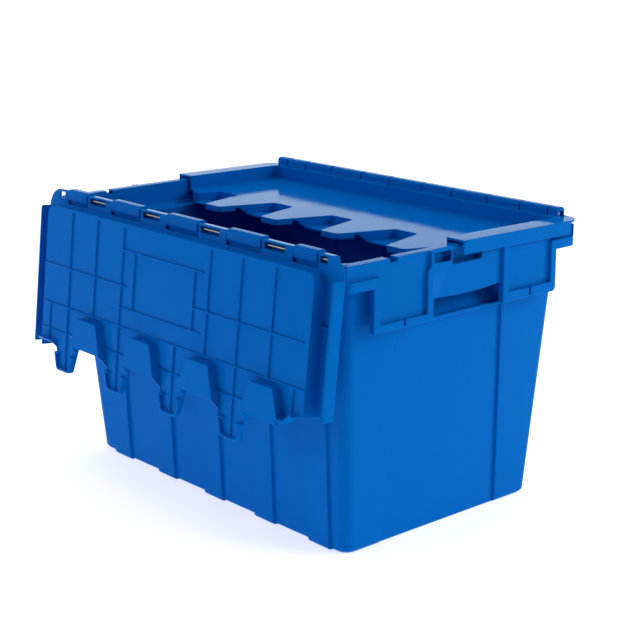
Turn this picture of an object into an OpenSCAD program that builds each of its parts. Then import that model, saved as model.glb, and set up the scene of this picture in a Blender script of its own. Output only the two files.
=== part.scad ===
// Stacking crate with two attached lids whose fingers interlock along the middle.
// +Z is up, X runs along the hinges, and the origin is the middle of the base's underside.
// One lid hangs open outside the -Y wall and the other lies closed over the +Y half.

/* [Overall size] */
// Length over the flanges at the lids' ends
crate_l = 600; // [596:1:610]
// Width over the two hinges
crate_w = 400; // [396:1:410]
// Height of the closed lids' frame above the ground
lid_top_z = 363; // [340:1:400]

/* [Tub] */
// Length of the base
base_l = 514; // [506:1:516]
// Width of the base
base_w = 318; // [312:1:320]
// How far each wall leans outwards over a height of 100
lean = 7; // [6:0.1:7.1]
// Wall thickness
wall_t = 3; // [2.5:0.1:3.5]
// Depth of the steps in the walls
step_d = 4; // [3:0.5:5]
// Number of pilasters on each long wall
pilasters = 5; // [3:1:5]
// Width of a pilaster at its foot
pilaster_w = 37; // [30:1:45]
// How far each side of a pilaster spreads over a height of 100
side_lean = 5; // [0:0.5:6]
// Length of the rim
rim_l = 593; // [590:1:593]
// Width of the rim
rim_w = 389; // [384:1:389]
// Height of the rim band
rim_h = 30; // [28:1:32]

/* [Lids] */
// Thickness of the lid's plates
lid_t = 3; // [2.5:0.1:3.2]
// Depth of the lid's tray below its frame
tray_d = 19; // [16:1:20]
// Width of the frame at the lid's ends
frame_w = 26; // [25:0.5:27]
// Depth of the flanges at the lid's ends
flange_d = 17; // [14:1:18]
// Reach of the fingers past the middle of the crate
finger_reach = 37.5; // [30:0.5:37.5]
// Depth of the skirts beside the gaps between the fingers
skirt_d = 12; // [10:1:12]
// Depth of the skirts round the fingers' tips
tip_skirt_d = 8; // [6:1:10]
// Angle that an open lid has swung through
open_angle = 263.3; // [258:0.1:264]
// Angle by which the closed lid is lifted off the rim
ajar = 0.7; // [0:0.1:1]

/* [Hinges] */
// Radius of a hinge rod
rod_r = 2; // [1.5:0.1:2.2]
// Radial clearance of a rod in its bores
rod_play = 0.05; // [0.02:0.01:0.1]
// Gap at each side of a knuckle
knuckle_gap = 1.5; // [1:0.1:2]
// Distance from one knuckle to the next
knuckle_pitch = 121.5; // [121:0.1:122]

/* [Hidden] */

half_l = crate_l / 2;
half_w = crate_w / 2;
plastic = [0.0, 0.36, 0.70];
steel = [0.72, 0.73, 0.75];
past = 1;            // overshoot of a cutting solid

// Hinge section, measured from the axis: a is inwards and b is up
edge_a = 6.5;        // axis to the outer edge
inner_a = 9;         // axis to the ridge's inner face
top_b = 9;           // axis to the ridge's top
axis_rise = 2;       // axis above the lid's frame
foot_b = axis_rise + lid_t;
hinge_y = half_w - edge_a;
hinge_z = lid_top_z + axis_rise;

// Tub heights
seat_gap = 0.4;
rim_top = lid_top_z - lid_t - seat_gap;
rim_foot = rim_top - rim_h;
mouth_z = rim_foot + 1.5;
foot_h = 3;
floor_top = foot_h + wall_t;
base_r = 14;
base_chamfer = 4;

// Pilasters of the -Y wall, along X
pilaster_pitch = 103.5;
first_pilaster = 231 - pilaster_w - (pilasters - 1) * pilaster_pitch;

// The mouth that a closed lid's tray drops into
tray_gap = 3.5;
mouth_l = crate_l - 2 * frame_w + 2 * tray_gap;
mouth_w = crate_w - 37;
mouth_r = 14;
rim_r = 12;

// The face at each end of the rim
rim_x = rim_l / 2;
lip_d = 5.5;         // height of the borders raised on it
skin_x = rim_x - lip_d - 2.5;
hollow_x = mouth_l / 2 + 3.5;
lip_top = rim_foot + 12.2;
tab_foot = rim_top - 82.6;
grip_foot = rim_top - 56.9;
grip_arch = 3.3;
left_tab = [-152, -58];
right_tab = [60, 156];
hand_y = [-86, 76];
recess_low = [-103, 97];     // edges of the end wall's recess at the base
recess_high = [-87, 77];     // and at the top
hand_foot = grip_foot - 25.7;
hand_top = grip_foot + 22;
hand_d = 12;

// Lid plan: u runs along the hinge and c across, from the middle of the crate
tray_c = 20 - half_w;
finger_pitch = crate_l / 5;
finger_u = 0.75 * finger_pitch;
fingers = 4;
root_c = -40;
tip_half = 15.7;
side_slope = 0.315;
long_end_c = 13;
short_end_c = -17;
corner_c = 3;
stub_c = -8;
stub_u = crate_l - 46;
shelf_end_c = -3;
notch_end_c = 14;
shelf_t = 2.6;
tip_foot = tray_d + tip_skirt_d;
shelf_foot = tray_d + skirt_d + seat_gap + shelf_t;
tray_r = 13;
frame_r = 25;
gusset_c = -120.5;
lid_rib_w = 2;
lid_rib_d = 2.5;

// Positions of the knuckles along u
first_knuckle = 46;
first_end = 91;
last_knuckle = 554;
knuckle_w = 63;
ridge_from = 30;
ridge_to = 577;
slot_w = 36;

// ---- helpers ----

// Points of an outline with each corner rounded to its own radius
function corner(a, b, c, r, n = 6) =
    let (p = (a - b) / norm(a - b),
         q = (c - b) / norm(c - b),
         half = acos(p * q) / 2,
         mid = b + (p + q) / norm(p + q) * r / sin(half),
         from = b + p * r / tan(half) - mid,
         to = b + q * r / tan(half) - mid,
         start = atan2(from[1], from[0]),
         turn = atan2(from[0] * to[1] - from[1] * to[0], from * to))
    [for (i = [0:n]) mid + r * [cos(start + turn * i / n), sin(start + turn * i / n)]];

function rounded(pts, radii) =
    let (n = len(pts))
    [for (i = [0:n - 1])
        each radii[i] > 0
            ? corner(pts[(i + n - 1) % n], pts[i], pts[(i + 1) % n], radii[i])
            : [pts[i]]];

function rect(l, w) = [[-l / 2, -w / 2], [l / 2, -w / 2], [l / 2, w / 2], [-l / 2, w / 2]];

function rounded_rect(l, w, r) = rounded(rect(l, w), [r, r, r, r]);

// A box between two corners
module block(low, high) {
    translate(low) cube(high - low);
}

// A profile in Y and Z, extruded along X
module along_x(from, to) {
    translate([from, 0, 0]) rotate([90, 0, 90]) linear_extrude(height = to - from) children();
}

// A profile in X and Z, extruded along Y
module along_y(from, to) {
    translate([0, to, 0]) rotate([90, 0, 0]) linear_extrude(height = to - from) children();
}

module both_sides() {
    for (turn = [0, 180]) rotate([0, 0, turn]) children();
}

// ---- tub ----

function out(z) = z * lean / 100;
function spread(z) = z * side_lean / 100;

module tapered(z0, z1, shrink0, shrink1) {
    l0 = base_l + 2 * (out(z0) - shrink0);
    w0 = base_w + 2 * (out(z0) - shrink0);
    l1 = base_l + 2 * (out(z1) - shrink1);
    w1 = base_w + 2 * (out(z1) - shrink1);
    translate([0, 0, z0])
        linear_extrude(height = z1 - z0, scale = [l1 / l0, w1 / w0], slices = 1)
            polygon(rounded_rect(l0, w0, base_r - shrink1));
}

// The recessed panel in each end wall
module end_panel(inset) {
    x0 = base_l / 2 - step_d - inset;
    top = mouth_z + past;
    both_sides() intersection() {
        along_y(-base_w / 2, base_w / 2)
            polygon([[x0, 0], [x0 + 40, 0], [x0 + 40, top], [x0 + out(top), top]]);
        along_x(x0 - past, x0 + 50)
            polygon([[recess_low[0] - inset, 0], [recess_low[1] + inset, 0],
                     [recess_high[1] + inset, top], [recess_high[0] - inset, top]]);
    }
}

// The pilasters of both long walls, as solids that stand out of the core
module pilaster_rows(inset, z0) {
    face = base_w / 2 + step_d - inset;
    back = base_w / 2 - 8;
    top = mouth_z + (inset > 0 ? past : 0);
    nick = inset > 0 ? 0 : 2.5;
    both_sides() for (k = [0:pilasters - 1]) {
        from = first_pilaster + k * pilaster_pitch + inset;
        to = from + pilaster_w - 2 * inset;
        intersection() {
            along_x(from - spread(top), to + spread(top))
                polygon([[-back, z0], [-back, top], [-face - out(top), top],
                         [-face - out(z0 + nick), z0 + nick], [-face - out(z0) + nick, z0]]);
            along_y(-half_w, 0)
                polygon([[from, 0], [to, 0], [to + spread(top), top], [from - spread(top), top]]);
        }
    }
}

module shell_outer() {
    difference() {
        union() {
            tapered(0, base_chamfer, 3, 0);
            tapered(base_chamfer, mouth_z, 0, 0);
        }
        end_panel(0);
    }
    pilaster_rows(0, 0);
}

module shell_inner() {
    difference() {
        tapered(floor_top, mouth_z + past / 2, wall_t, wall_t);
        end_panel(wall_t);
    }
    pilaster_rows(wall_t, floor_top);
}

// The tabs and the hand grip that hang from the rim at one end
module end_skirt() {
    grip_mid = (left_tab[1] + right_tab[0]) / 2;
    top = rim_foot + past;
    arch = [for (i = [0:8]) let (s = i / 8 * 2 - 1)
        [grip_mid + s * (right_tab[0] - left_tab[1]) / 2, grip_foot - grip_arch * (1 - s * s)]];
    outline = concat(
        rounded([[left_tab[0], top], [left_tab[0], tab_foot], [left_tab[1], tab_foot]], [0, 2, 0]),
        arch,
        rounded([[right_tab[0], tab_foot], [right_tab[1], tab_foot], [right_tab[1], top]], [0, 6, 0]));
    along_x(skin_x, rim_x) polygon(outline);
}

// Faces inside the raised borders of the end skirt, and the face of the grip between them
module end_faces() {
    border = 9.7;
    bead = 4.6;
    step_z = lip_top;
    high = rim_top + past;
    far = rim_w / 2 - 4;
    left = [[-far, step_z], [left_tab[0] + border, step_z], [left_tab[0] + border, tab_foot + border],
            [left_tab[1] - border, tab_foot + border], [left_tab[1] - border, step_z - 5],
            [left_tab[1] - bead, step_z], [left_tab[1] - bead, high], [-far, high]];
    middle = [[left_tab[1], tab_foot], [right_tab[0], tab_foot], [right_tab[0], high], [left_tab[1], high]];
    right = [[right_tab[0] + border, high], [right_tab[0] + border, tab_foot + border + 3.3],
             [right_tab[1] - border, tab_foot + border + 3.3], [right_tab[1] - border, step_z],
             [far, step_z], [far, high]];
    along_x(rim_x - lip_d, rim_x + past) {
        polygon(left);
        polygon(middle);
        polygon(right);
    }
    // Drain slots in the tabs' lower borders
    for (y = [-104, 109])
        block([rim_x - lip_d, y - 1.5, tab_foot + 3], [rim_x + past, y + 1.5, tab_foot + border + 4]);
}

// The space between the end skin and the wall, with its webs left standing
module end_hollow() {
    reach = rim_w / 2 - 15;
    difference() {
        block([hollow_x, -reach, rim_foot - past], [skin_x, reach, rim_top - 3]);
        for (y = [-146, -110, -62, -23, 29, 64, 105, 146])
            block([hollow_x - past, y - 1.25, rim_foot - 2 * past], [skin_x + past, y + 1.25, rim_top]);
    }
}

// Windows for a seal through the end of the rim
module seal_windows() {
    top = rim_top - 4.6;
    for (w = [[-57, -24.7, 17.1], [-21.5, 27.5, 22], [26.5, 57, 13]])
        block([skin_x - past, w[0], rim_top - w[2]], [rim_x + past, w[1], top]);
}

// Webs that tie the tabs to the wall
module tab_webs() {
    wall_x = base_l / 2 - step_d;
    foot = tab_foot + 14;
    top = rim_foot + past;
    for (y = [-146, -110, 105, 146])
        along_y(y - 1.25, y + 1.25)
            polygon([[wall_x + out(foot + 20), foot + 20], [skin_x + past, foot], [skin_x + past, top],
                     [wall_x + out(top), top]]);
}

// Hand pocket: grow = 0 gives the pocket, grow = wall_t the solid round it
module hand_pocket(grow) {
    wall_x = base_l / 2 - step_d + out(hand_foot);
    back = wall_x - hand_d;
    front = grow > 0 ? hollow_x : skin_x;
    along_y(hand_y[0] - grow, hand_y[1] + grow)
        polygon([[wall_x + past, hand_foot - past - 1.6 * grow], [back - grow, hand_foot + hand_d - 0.6 * grow],
                 [back - grow, hand_top + grow], [front, hand_top + grow],
                 [front, hand_foot - past - 1.6 * grow]]);
}

// Plate that closes the grip's hollow from above
module grip_ceiling() {
    block([base_l / 2, hand_y[0] - wall_t, hand_top], [skin_x + past, hand_y[1] + wall_t, hand_top + wall_t]);
}

module rim_band() {
    translate([0, 0, rim_foot])
        linear_extrude(height = rim_h) polygon(rounded_rect(rim_l, rim_w, rim_r));
}

// Room for the lid's ridge and corners to turn, cut into the rim's outer edge
module hinge_relief() {
    relief_a = 9.1;
    relief_b = 11.2;
    corner_reach = 8.8;
    u = [ridge_from - 8, ridge_to + 4];
    block([u[0] - half_l, -half_w, hinge_z - relief_b], [u[1] - half_l, relief_a - hinge_y, rim_top + past]);
    on_hinge_axis() rotate([0, 90, 0]) cylinder(h = crate_l, r = corner_reach, center = true, $fn = 64);
}

// Core-outs in the underside of the long rim bands, one in each bay between two pilasters
module rim_pockets() {
    web = 3;
    side = web + spread(rim_foot);
    back = base_w / 2 + out(rim_foot) + web;
    for (k = [0:pilasters - 2]) {
        from = first_pilaster + k * pilaster_pitch + pilaster_w;
        block([from + side, web - rim_w / 2, rim_foot - past],
              [from + pilaster_pitch - pilaster_w - side, -back, rim_foot + 15]);
    }
}

// Start and end of tub knuckle k along u
function knuckle(k) =
    let (end = first_end + k * knuckle_pitch)
    [max(first_knuckle, end - knuckle_w), min(end, last_knuckle)];

ridge = rounded([[-edge_a, -foot_b], [inner_a, -foot_b], [inner_a, top_b], [-edge_a, top_b]],
                [0, 0, 4.5, 5]);

module on_hinge_axis() {
    translate([0, -hinge_y, hinge_z]) children();
}

module tub_knuckles() {
    arm_a = -2.2;
    arm_b = 26;
    on_hinge_axis() for (k = [0:4])
        along_x(knuckle(k)[0] - half_l, knuckle(k)[1] - half_l) {
            polygon(ridge);
            translate([arm_a, -arm_b]) square([inner_a - arm_a, arm_b]);
        }
}

module rod_bore() {
    on_hinge_axis() rotate([0, 90, 0])
        cylinder(h = crate_l, r = rod_r + rod_play, center = true, $fn = 48);
}

// Grid of ribs and the pad at the middle, which stand on the ground with the base's border
module foot_recess() {
    border = 16;
    rib = 3;
    difference() {
        translate([0, 0, -past]) linear_extrude(height = foot_h + past)
            polygon(rounded_rect(base_l - 2 * border, base_w - 2 * border, base_r));
        for (x = [-200:50:200]) block([x - rib / 2, -base_w / 2, -2 * past], [x + rib / 2, base_w / 2, foot_h + past]);
        for (y = [-100:50:100]) block([-base_l / 2, y - rib / 2, -2 * past], [base_l / 2, y + rib / 2, foot_h + past]);
        block([-30, -30, -2 * past], [30, 30, foot_h + past]);
    }
}

module crate_tub() {
    color(plastic) difference() {
        union() {
            difference() {
                union() {
                    shell_outer();
                    rim_band();
                    both_sides() end_skirt();
                }
                both_sides() {
                    end_hollow();
                    hinge_relief();
                    rim_pockets();
                }
                shell_inner();
                translate([0, 0, mouth_z])
                    linear_extrude(height = rim_h + past) polygon(rounded_rect(mouth_l, mouth_w, mouth_r));
            }
            both_sides() {
                tab_webs();
                hand_pocket(wall_t);
                grip_ceiling();
                tub_knuckles();
            }
        }
        both_sides() {
            hand_pocket(0);
            end_faces();
            seal_windows();
            rod_bore();
            // Notches in the rim's top, for the lids' gussets
            for (y = [gusset_c + 3.5, -gusset_c - 3.5])
                block([half_l - 30, y - 5.5, rim_top - 5], [half_l, y + 5.5, rim_top + past]);
        }
        foot_recess();
    }
}

// ---- lid ----

// Half the width of a finger, and of the gap beside it, at a distance c across
function finger_half(c) = tip_half + side_slope * (finger_reach - c);
function gap_half(c) = finger_pitch / 2 - finger_half(c);

// The free edge of the lid as an outline, drawn in from the real one by inset
function free_edge(inset) =
    let (side = inset * sqrt(1 + side_slope * side_slope),
         tip = finger_reach - inset,
         root = root_c - inset)
    concat(
        [[[finger_u - finger_half(corner_c - inset) + side, corner_c - inset], 3]],
        [for (k = [0:fingers - 1]) let (u = finger_u + k * finger_pitch, g = u + finger_pitch / 2)
            each [[[u - finger_half(tip) + side, tip], 6],
                  [[u + finger_half(tip) - side, tip], 6],
                  [[g - gap_half(root) - side, root], 5],
                  [[g + gap_half(root) + side, root], 5]]],
        [[[finger_u + (fingers - 0.5) * finger_pitch + gap_half(stub_c - inset) + side, stub_c - inset], 3],
         [[stub_u - inset / 2, stub_c - inset], 2],
         [[stub_u + 9 - inset / 2, short_end_c - inset], 2]]);

// Plan of the panel, from the tray's wall to the free edge
module panel_plan(inset) {
    edge = free_edge(inset);
    near = tray_c + inset;
    left = frame_w + inset;
    right = crate_l - frame_w - inset;
    pts = concat([[right, short_end_c - inset], [right, near], [left, near], [left, corner_c - inset]],
                 [for (e = edge) e[0]]);
    radii = concat([0, tray_r - inset, tray_r - inset, 0], [for (e = edge) e[1]]);
    polygon(rounded(pts, radii));
}

module frame_plan() {
    pts = [[0, long_end_c], [0, -half_w], [crate_l, -half_w], [crate_l, short_end_c],
           [crate_l - frame_w, short_end_c], [crate_l - frame_w, tray_c], [frame_w, tray_c],
           [frame_w, long_end_c]];
    polygon(rounded(pts, [2, frame_r, frame_r, 2, 0, tray_r, tray_r, 0]));
}

module tray_wall_plan() {
    pts = [[frame_w, long_end_c], [frame_w, tray_c], [crate_l - frame_w, tray_c],
           [crate_l - frame_w, short_end_c], [crate_l - frame_w - lid_t, short_end_c],
           [crate_l - frame_w - lid_t, tray_c + lid_t], [frame_w + lid_t, tray_c + lid_t],
           [frame_w + lid_t, long_end_c]];
    polygon(rounded(pts, [0, tray_r, tray_r, 0, 0, tray_r - lid_t, tray_r - lid_t, 0]));
}

// Extrudes a plan between two depths below the frame
module slab(low, high) {
    translate([0, 0, -low]) linear_extrude(height = low - high) children();
}

module finger_skirts() {
    sheet = tray_d + lid_t;
    difference() {
        slab(shelf_foot, tray_d) difference() {
            panel_plan(0);
            panel_plan(lid_t);
        }
        // Only the free edge has a skirt
        block([0, -half_w, -shelf_foot - past], [crate_l, root_c - 20, -sheet]);
        for (u = [[0, frame_w + lid_t + 1], [stub_u + 14, crate_l]])
            block([u[0], -half_w, -shelf_foot - past], [u[1], long_end_c, -sheet]);
        // Past the middle it ends above the other lid's shelves, with a notch in its sides
        along_x(-past, crate_l + past)
            polygon([[shelf_end_c, -shelf_foot - past], [shelf_end_c, -shelf_foot], [9, -sheet - 0.5],
                     [notch_end_c, -sheet - 0.5], [notch_end_c, -tip_foot], [half_w, -tip_foot],
                     [half_w, -shelf_foot - past]]);
    }
    // Short walls that close the tip's skirt towards the notches
    reach = 9;
    for (k = [0:fingers - 1], side = [-1, 1]) {
        edge = finger_u + k * finger_pitch + side * (finger_half(notch_end_c) - lid_t / 2);
        inner = edge - side * reach;
        block([min(edge, inner), notch_end_c, -tip_foot], [max(edge, inner), notch_end_c + 2, -tray_d - past]);
    }
}

// Shelves at the foot of the gaps, which the other lid's fingers lie on
module shelves() {
    back = root_c - lid_t;
    for (k = [0:fingers - 1])
        translate([finger_u + (k + 0.5) * finger_pitch, 0, 0])
            slab(shelf_foot, shelf_foot - shelf_t)
                polygon([[-gap_half(back) - 1, back], [gap_half(back) + 1, back],
                         [gap_half(shelf_end_c) + 1, shelf_end_c], [-gap_half(shelf_end_c) - 1, shelf_end_c]]);
}

// Stiffening ribs under the tray
module rib_u(u, from, to) {
    block([u - lid_rib_w / 2, from, -tray_d - lid_t - lid_rib_d], [u + lid_rib_w / 2, to, -tray_d - lid_t + past]);
}

module rib_c(c, from, to) {
    block([from, c - lid_rib_w / 2, -tray_d - lid_t - lid_rib_d], [to, c + lid_rib_w / 2, -tray_d - lid_t + past]);
}

module lid_ribs() {
    near = tray_c + 4;
    mid = -49;          // the rib that runs the whole length
    half_pitch = finger_pitch / 2;
    tip = finger_reach - lid_t;
    label = [finger_u + 2.45 * half_pitch, finger_u + 4.53 * half_pitch];
    for (k = [0, 1, 3]) rib_u(finger_u + k * finger_pitch, near, tip);
    rib_u(finger_u + 2 * finger_pitch, mid, tip);
    for (u = [finger_u + half_pitch, finger_u + 5 * half_pitch, finger_u + 7 * half_pitch]) rib_u(u, near, mid);
    for (u = label) rib_u(u, -147, -73);
    rib_u(47, mid, corner_c - lid_t);
    rib_u(stub_u + 1, mid, short_end_c - lid_t);
    for (c = [-147, -73.5]) rib_c(c, finger_u + 2 * half_pitch - 4, finger_u + 5 * half_pitch - 12);
    rib_c(-101.5, frame_w + 2, finger_u + 2 * half_pitch + 10);
    rib_c(-101.5, finger_u + 4.5 * half_pitch, crate_l - frame_w - 8);
    rib_c(mid, frame_w + 2, crate_l - frame_w - 2);
    for (k = [0:fingers - 1]) {
        u = finger_u + k * finger_pitch;
        wide = finger_half(-13.5) - 1;
        rib_c(-13.5, k == 0 ? frame_w + 2 : u - wide, u + wide);
    }
}

module end_flanges() {
    start = 25 - half_w;
    for (e = [[0, long_end_c], [crate_l - lid_t, short_end_c]]) {
        along_x(e[0], e[0] + lid_t)
            polygon(rounded([[start, -flange_d], [e[1], -flange_d], [e[1], 0], [start, 0]], [3, 1, 0, 0]));
    }
    // Gussets across the channel between flange and tray
    for (u = [0, crate_l - frame_w])
        block([u, gusset_c - 1, -lid_t - 4.5], [u + frame_w, gusset_c + 1, -lid_t + past]);
}

// Raised bar that holds the hinge rod, open between the lid's knuckles
module lid_knuckles() {
    translate([0, edge_a - half_w, axis_rise]) along_x(ridge_from, ridge_to) polygon(ridge);
}

module lid_moulding() {
    axis_c = edge_a - half_w;
    difference() {
        union() {
            slab(lid_t, 0) frame_plan();
            slab(tray_d + lid_t, 0) tray_wall_plan();
            slab(tray_d + lid_t, tray_d) panel_plan(0);
            finger_skirts();
            shelves();
            lid_ribs();
            end_flanges();
            lid_knuckles();
        }
        // Gaps for the tub's knuckles
        for (k = [0:4])
            block([knuckle(k)[0] - knuckle_gap, -half_w - past, -lid_t - past],
                  [knuckle(k)[1] + knuckle_gap, axis_c + inner_a + 2.2, axis_rise + top_b + past]);
        // Slots that show the rod from below, and square ones at its ends
        for (k = [0:3])
            block([first_end + 6.5 + k * knuckle_pitch, axis_c - 3.5, -lid_t - past],
                  [first_end + 6.5 + k * knuckle_pitch + slot_w, axis_c + 4.5, axis_rise + 3.5]);
        for (u = [24, 558.5])
            block([u, axis_c - 3.5, -lid_t - past], [u + 12, axis_c + 4.5, axis_rise + 3.5]);
        translate([-past, axis_c, axis_rise]) rotate([0, 90, 0])
            cylinder(h = crate_l + 2 * past, r = rod_r + rod_play, $fn = 48);
    }
}

// A lid lying closed over the -Y half
module closed_lid() {
    translate([-half_l, 0, lid_top_z]) lid_moulding();
}

module swung_lid(angle) {
    on_hinge_axis() rotate([angle, 0, 0]) translate([0, hinge_y, -hinge_z]) closed_lid();
}

module front_lid() {
    color(plastic) swung_lid(open_angle);
}

module rear_lid() {
    color(plastic) rotate([0, 0, 180]) swung_lid(ajar);
}

// ---- rods ----

module hinge_rod() {
    from = ridge_from + 3;
    to = ridge_to - 9;
    on_hinge_axis() translate([from - half_l, 0, 0]) rotate([0, 90, 0])
        cylinder(h = to - from, r = rod_r, $fn = 48);
}

module front_hinge_rod() {
    color(steel) hinge_rod();
}

module rear_hinge_rod() {
    color(steel) rotate([0, 0, 180]) hinge_rod();
}

crate_tub();
front_lid();
rear_lid();
front_hinge_rod();
rear_hinge_rod();
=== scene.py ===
import math
import bmesh
import bpy
from mathutils import Matrix, Vector
from mathutils.bvhtree import BVHTree


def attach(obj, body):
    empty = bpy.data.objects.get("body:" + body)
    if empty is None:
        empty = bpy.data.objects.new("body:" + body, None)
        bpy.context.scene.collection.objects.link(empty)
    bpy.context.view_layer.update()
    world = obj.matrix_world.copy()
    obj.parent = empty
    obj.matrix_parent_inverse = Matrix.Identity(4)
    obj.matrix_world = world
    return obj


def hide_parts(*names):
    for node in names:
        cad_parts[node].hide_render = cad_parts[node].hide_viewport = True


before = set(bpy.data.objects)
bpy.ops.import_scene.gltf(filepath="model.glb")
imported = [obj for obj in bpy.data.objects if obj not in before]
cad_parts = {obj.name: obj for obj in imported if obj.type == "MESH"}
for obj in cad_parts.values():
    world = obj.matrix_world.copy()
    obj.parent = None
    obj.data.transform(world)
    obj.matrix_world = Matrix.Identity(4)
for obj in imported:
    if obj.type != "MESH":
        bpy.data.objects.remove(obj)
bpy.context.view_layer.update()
scene = bpy.context.scene

# ---- driving values, in metres unless they say otherwise ----

TUB_EDGE = 0.0011      # width of the rounding along the tub's edges
LID_EDGE = 0.0009      # and along the lids'
SHARP = math.radians(28)             # an edge that turns by more than this is rounded
FLAT = math.radians(0.6)             # faces that turn by less than this are one face
SAME_PLACE = 2e-6      # points closer than this are one point
EDGE_SHARES = (1.0, 0.7, 0.45)       # shares of the width that are tried where room is short
ROOM = 2.3             # face needed beside an edge, in widths of its rounding
ALONG_EDGE = (0.12, 0.5, 0.88)       # where along an edge the room is measured
OFF_FACE = 0.12        # how far off the face such a point may be, as a share of its distance
FACES_AGREE = 0.9      # least cosine between the face found there and the edge's own
RUNS_ON = 0.95         # least cosine between two edges that make one line
LONG_EDGE = 8          # shortest edge that gets a step at its end, in widths
STEP = 2               # length of that step, in widths

LENS = 85.61           # millimetres, on a sensor of SENSOR
SENSOR = 36
CAMERA_PLACE = (1.48784, -1.26956, 0.73731)
CAMERA_TURN = (48.944, 15.151, -0.235)   # azimuth, elevation and roll in degrees
CAMERA_CLIP = (0.05, 60)
CAMERA_SIDE = (0.754, -0.657, 0)     # level direction from the crate to the camera
FLOOR_HALF = 20
WHITE = (1, 1, 1, 1)


# ---- meshes ----

def cleaned(node):
    """The node's mesh with its doubled points merged and its flat faces joined up."""
    bm = bmesh.new()
    bm.from_mesh(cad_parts[node].data)
    bmesh.ops.remove_doubles(bm, verts=bm.verts, dist=SAME_PLACE)
    bmesh.ops.dissolve_degenerate(bm, edges=bm.edges, dist=SAME_PLACE)
    bmesh.ops.dissolve_limit(bm, angle_limit=FLAT, verts=bm.verts, edges=bm.edges)
    bmesh.ops.connect_verts_concave(bm, faces=[f for f in bm.faces if len(f.verts) > 4])
    bm.normal_update()
    return bm


def is_sharp(edge):
    return len(edge.link_faces) == 2 and edge.calc_face_angle(0) > SHARP


def has_room(edge, tree, reach):
    """Whether both faces of an edge run on for at least reach, so that it can be rounded."""
    a, b = (v.co for v in edge.verts)
    along = (b - a).normalized()
    for loop in edge.link_loops:
        normal = loop.face.normal
        inward = normal.cross(along) if loop.vert is edge.verts[0] else along.cross(normal)
        for share in ALONG_EDGE:
            point = a.lerp(b, share) + inward * reach
            near, found, _, distance = tree.find_nearest(point)
            if near is None or distance > OFF_FACE * reach or found.dot(normal) < FACES_AGREE:
                return False
    return True


def lesser_neighbours(edge, layer):
    """Each end of an edge where a sharp edge of less weight runs on in its line, with that weight."""
    for v in edge.verts:
        along = (edge.other_vert(v).co - v.co).normalized()
        for other in v.link_edges:
            if other is edge or other.calc_face_angle(0) <= SHARP:
                continue
            onward = (other.other_vert(v).co - v.co).normalized()
            if onward.dot(along) < -RUNS_ON and other[layer] < edge[layer]:
                yield v, other[layer]


def edge_weights(bm, width):
    """How much of width each sharp edge takes, with a short step where that changes along a line."""
    tree = BVHTree.FromBMesh(bm)
    layer = bm.edges.layers.float.new("bevel_weight_edge")
    sharp = [e for e in bm.edges if is_sharp(e)]
    for e in sharp:
        e[layer] = next((k for k in EDGE_SHARES if has_room(e, tree, ROOM * k * width)), 0.0)
    ends = [(e, v, weight) for e in sharp if e[layer] > 0 and e.calc_length() >= LONG_EDGE * width
            for v, weight in lesser_neighbours(e, layer)]
    pieces = {}
    for e, v, weight in ends:
        whole = next(p for p in pieces.setdefault(e, [e]) if v in p.verts)
        kept = whole[layer]
        part, _ = bmesh.utils.edge_split(whole, v, min(0.3, STEP * width / whole.calc_length()))
        pieces[e].append(part)
        for piece in (part, whole):
            piece[layer] = weight if v in piece.verts else kept
    return layer


def with_modifiers(obj, low, high):
    """The object's mesh with its modifiers applied, kept inside the box from low to high."""
    shaped = bpy.data.meshes.new_from_object(obj.evaluated_get(bpy.context.evaluated_depsgraph_get()))
    for v in shaped.vertices:
        v.co = [min(max(c, least), most) for c, least, most in zip(v.co, low, high)]
    return shaped


def rounded(node, piece, width, material):
    """A copy of the node whose sharp edges are rounded to width, or less where there is less room."""
    bm = cleaned(node)
    low, high = ([pick(v.co[i] for v in bm.verts) for i in range(3)] for pick in (min, max))
    layer = edge_weights(bm, width)
    for e in bm.edges:
        e.smooth = not (is_sharp(e) and e[layer] == 0)
    for f in bm.faces:
        f.smooth = True
    mesh = bpy.data.meshes.new(piece)
    bm.to_mesh(mesh)
    bm.free()
    obj = bpy.data.objects.new(piece, mesh)
    scene.collection.objects.link(obj)
    bevel = obj.modifiers.new("edges", "BEVEL")
    bevel.limit_method = "WEIGHT"
    bevel.width = width
    bevel.segments = 2
    bevel.use_clamp_overlap = False
    bevel.loop_slide = False
    weighted = obj.modifiers.new("normals", "WEIGHTED_NORMAL")
    weighted.keep_sharp = True
    weighted.weight = 100
    shaped = with_modifiers(obj, low, high)
    obj.modifiers.clear()
    obj.data = shaped
    shaped.materials.clear()
    shaped.materials.append(material)
    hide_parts(node)
    return obj


# ---- materials ----

def new_material(name):
    material = bpy.data.materials.new(name)
    material.use_nodes = True
    nodes = material.node_tree.nodes
    return material, nodes, material.node_tree.links, nodes["Principled BSDF"]


def noise(nodes, scale, detail):
    node = nodes.new("ShaderNodeTexNoise")
    node.inputs["Scale"].default_value = scale
    node.inputs["Detail"].default_value = detail
    return node


def bump(nodes, strength, distance):
    node = nodes.new("ShaderNodeBump")
    node.inputs["Strength"].default_value = strength
    node.inputs["Distance"].default_value = distance
    return node


def mapped(nodes, to, start=(0, 1)):
    """A node that maps the range start onto the range to, clamped at both ends."""
    node = nodes.new("ShaderNodeMapRange")
    node.inputs["From Min"].default_value, node.inputs["From Max"].default_value = start
    node.inputs["To Min"].default_value, node.inputs["To Max"].default_value = to
    return node


def reach_along(nodes, direction):
    """A node that gives how far its vector reaches in a direction."""
    node = nodes.new("ShaderNodeVectorMath")
    node.operation = "DOT_PRODUCT"
    node.inputs[1].default_value = direction
    return node


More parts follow.
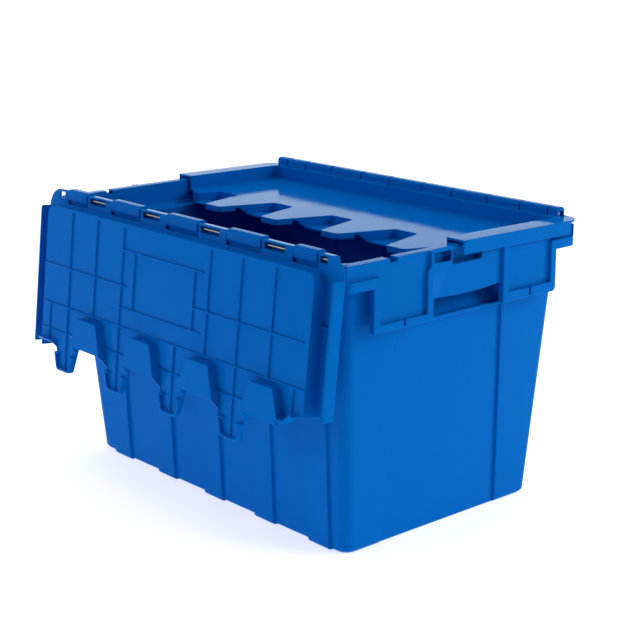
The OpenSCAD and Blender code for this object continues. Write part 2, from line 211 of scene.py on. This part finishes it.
def plastic():
    """Blue polypropylene: slightly uneven colour and gloss over a broad wave and a fine grain."""
    material, nodes, links, shader = new_material("blue_polypropylene")
    shader.inputs["IOR"].default_value = 1.07
    place = nodes.new("ShaderNodeTexCoord")
    cloud = noise(nodes, 7.0, 5.0)
    wave = noise(nodes, 26.0, 2.0)
    grain = noise(nodes, 1100.0, 2.0)
    tint = nodes.new("ShaderNodeMix")
    tint.data_type = "RGBA"
    tint.inputs[6].default_value = (0.0, 0.134, 0.535, 1)
    tint.inputs[7].default_value = (0.0, 0.148, 0.575, 1)
    gloss = mapped(nodes, (0.04, 0.11))
    broad = bump(nodes, 0.5, 0.0003)
    fine = bump(nodes, 0.35, 0.00004)
    for texture in (cloud, grain, wave):
        links.new(place.outputs["Object"], texture.inputs["Vector"])
    links.new(cloud.outputs[0], tint.inputs[0])
    links.new(tint.outputs[2], shader.inputs["Base Color"])
    links.new(cloud.outputs[0], gloss.inputs["Value"])
    links.new(gloss.outputs["Result"], shader.inputs["Roughness"])
    links.new(wave.outputs[0], broad.inputs["Height"])
    links.new(grain.outputs[0], fine.inputs["Height"])
    links.new(broad.outputs["Normal"], fine.inputs["Normal"])
    links.new(fine.outputs["Normal"], shader.inputs["Normal"])
    return material


def steel():
    """Zinc-coated wire, with its gloss drawn out along X. Its colour is set darker than the zinc
    itself, as painted shade for the dim hinge slots it lies in.
    """
    material, nodes, links, shader = new_material("zinc_steel")
    # base colour darker than bare zinc: painted shade for the dim hinge slots and the dark side the
    # rods mirror
    shader.inputs["Base Color"].default_value = (0.36, 0.35, 0.32, 1)
    shader.inputs["Metallic"].default_value = 1.0
    place = nodes.new("ShaderNodeTexCoord")
    stretch = nodes.new("ShaderNodeMapping")
    stretch.inputs["Scale"].default_value = (30.0, 900.0, 900.0)
    drawn = noise(nodes, 1.0, 2.0)
    gloss = mapped(nodes, (0.2, 0.42))
    links.new(place.outputs["Object"], stretch.inputs["Vector"])
    links.new(stretch.outputs["Vector"], drawn.inputs["Vector"])
    links.new(drawn.outputs[0], gloss.inputs["Value"])
    links.new(gloss.outputs["Result"], shader.inputs["Roughness"])
    return material


def paper():
    """Pale floor with a glow of its own, which falls off towards the camera's side."""
    material, nodes, links, shader = new_material("paper")
    shader.inputs["Base Color"].default_value = (0.85, 0.85, 0.85, 1)
    shader.inputs["Roughness"].default_value = 1.0
    shader.inputs["Specular IOR Level"].default_value = 0.0
    shader.inputs["Emission Color"].default_value = WHITE
    place = nodes.new("ShaderNodeTexCoord")
    ahead = reach_along(nodes, CAMERA_SIDE)
    glow = mapped(nodes, (0.64, 0.2), start=(0.5, 1.6))
    links.new(place.outputs["Object"], ahead.inputs[0])
    links.new(ahead.outputs["Value"], glow.inputs["Value"])
    links.new(glow.outputs["Result"], shader.inputs["Emission Strength"])
    return material


# ---- pieces ----

blue = plastic()
zinc = steel()
tub = rounded("crate_tub", "tub", TUB_EDGE, blue)
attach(tub, "tub")
front = rounded("front_lid", "hanging_lid", LID_EDGE, blue)
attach(front, "front")
rear = rounded("rear_lid", "closed_lid", LID_EDGE, blue)
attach(rear, "rear")
for node in ("front_hinge_rod", "rear_hinge_rod"):
    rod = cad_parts[node]
    rod.data.materials.clear()
    rod.data.materials.append(zinc)


# ---- camera, floor and light ----

def turned_camera(azimuth, elevation, roll):
    """The turn of a camera that looks at the crate from an azimuth and an elevation, in degrees."""
    a, e, r = (math.radians(v) for v in (azimuth, elevation, roll))
    back = Vector((math.sin(a) * math.cos(e), -math.cos(a) * math.cos(e), math.sin(e)))
    level = Vector((0, 0, 1)).cross(back).normalized()
    x = level * math.cos(r) + back.cross(level) * math.sin(r)
    return Matrix((x, back.cross(x), back)).transposed()


def add_camera():
    camera = bpy.data.objects.new("camera", bpy.data.cameras.new("camera"))
    scene.collection.objects.link(camera)
    camera.data.lens = LENS
    camera.data.sensor_width = SENSOR
    camera.data.clip_start, camera.data.clip_end = CAMERA_CLIP
    camera.matrix_world = Matrix.Translation(CAMERA_PLACE) @ turned_camera(*CAMERA_TURN).to_4x4()
    scene.camera = camera


def add_floor():
    mesh = bpy.data.meshes.new("floor")
    h = FLOOR_HALF
    mesh.from_pydata([(-h, -h, 0), (h, -h, 0), (h, h, 0), (-h, h, 0)], [], [(0, 1, 2, 3)])
    floor = bpy.data.objects.new("floor", mesh)
    scene.collection.objects.link(floor)
    mesh.materials.append(paper())


def add_world():
    """White surroundings, dimmer overhead and on the camera's side."""
    world = bpy.data.worlds.new("world")
    scene.world = world
    world.use_nodes = True
    nodes, links = world.node_tree.nodes, world.node_tree.links
    direction = nodes.new("ShaderNodeTexCoord")
    parts = nodes.new("ShaderNodeSeparateXYZ")
    fade = mapped(nodes, (1.0, 0.45), start=(0.15, 0.8))
    side = reach_along(nodes, CAMERA_SIDE)
    dim = mapped(nodes, (1.0, 0.12), start=(0.1, 0.8))
    both = nodes.new("ShaderNodeMath")
    both.operation = "MULTIPLY"
    links.new(direction.outputs["Generated"], parts.inputs[0])
    links.new(direction.outputs["Generated"], side.inputs[0])
    links.new(parts.outputs["Z"], fade.inputs["Value"])
    links.new(side.outputs["Value"], dim.inputs["Value"])
    links.new(fade.outputs["Result"], both.inputs[0])
    links.new(dim.outputs["Result"], both.inputs[1])
    links.new(both.outputs[0], nodes["Background"].inputs["Strength"])
    nodes["Background"].inputs["Color"].default_value = WHITE


def area_light(name, place, target, size, power, color):
    data = bpy.data.lights.new(name, "AREA")
    data.shape = "RECTANGLE"
    data.size, data.size_y = size
    data.energy = power
    data.color = color
    lamp = bpy.data.objects.new(name, data)
    lamp.location = place
    lamp.rotation_mode = "QUATERNION"
    lamp.rotation_quaternion = (Vector(place) - Vector(target)).to_track_quat("Z", "Y")
    scene.collection.objects.link(lamp)


add_camera()
add_floor()
add_world()
scene.view_settings.view_transform = "Standard"
area_light("key", (2.5, 1.6, 1.75), (0.1, 0, 0.25), (1.4, 1.4), 35, (1.0, 1.0, 0.93))
area_light("fill", (-1.2, -2.8, 1.2), (0, -0.2, 0.2), (1.6, 1.2), 10, (0.9, 0.80, 1.0))
area_light("card", (-2.9, 2.55, 1.2), (0, 0, 0.36), (3.4, 1.3), 14, (0.70, 1.0, 0.8))
area_light("overhead", (-0.3, -0.4, 2.3), (0, 0, 0.3), (1.8, 1.8), 9, (0.9, 0.92, 1.0))
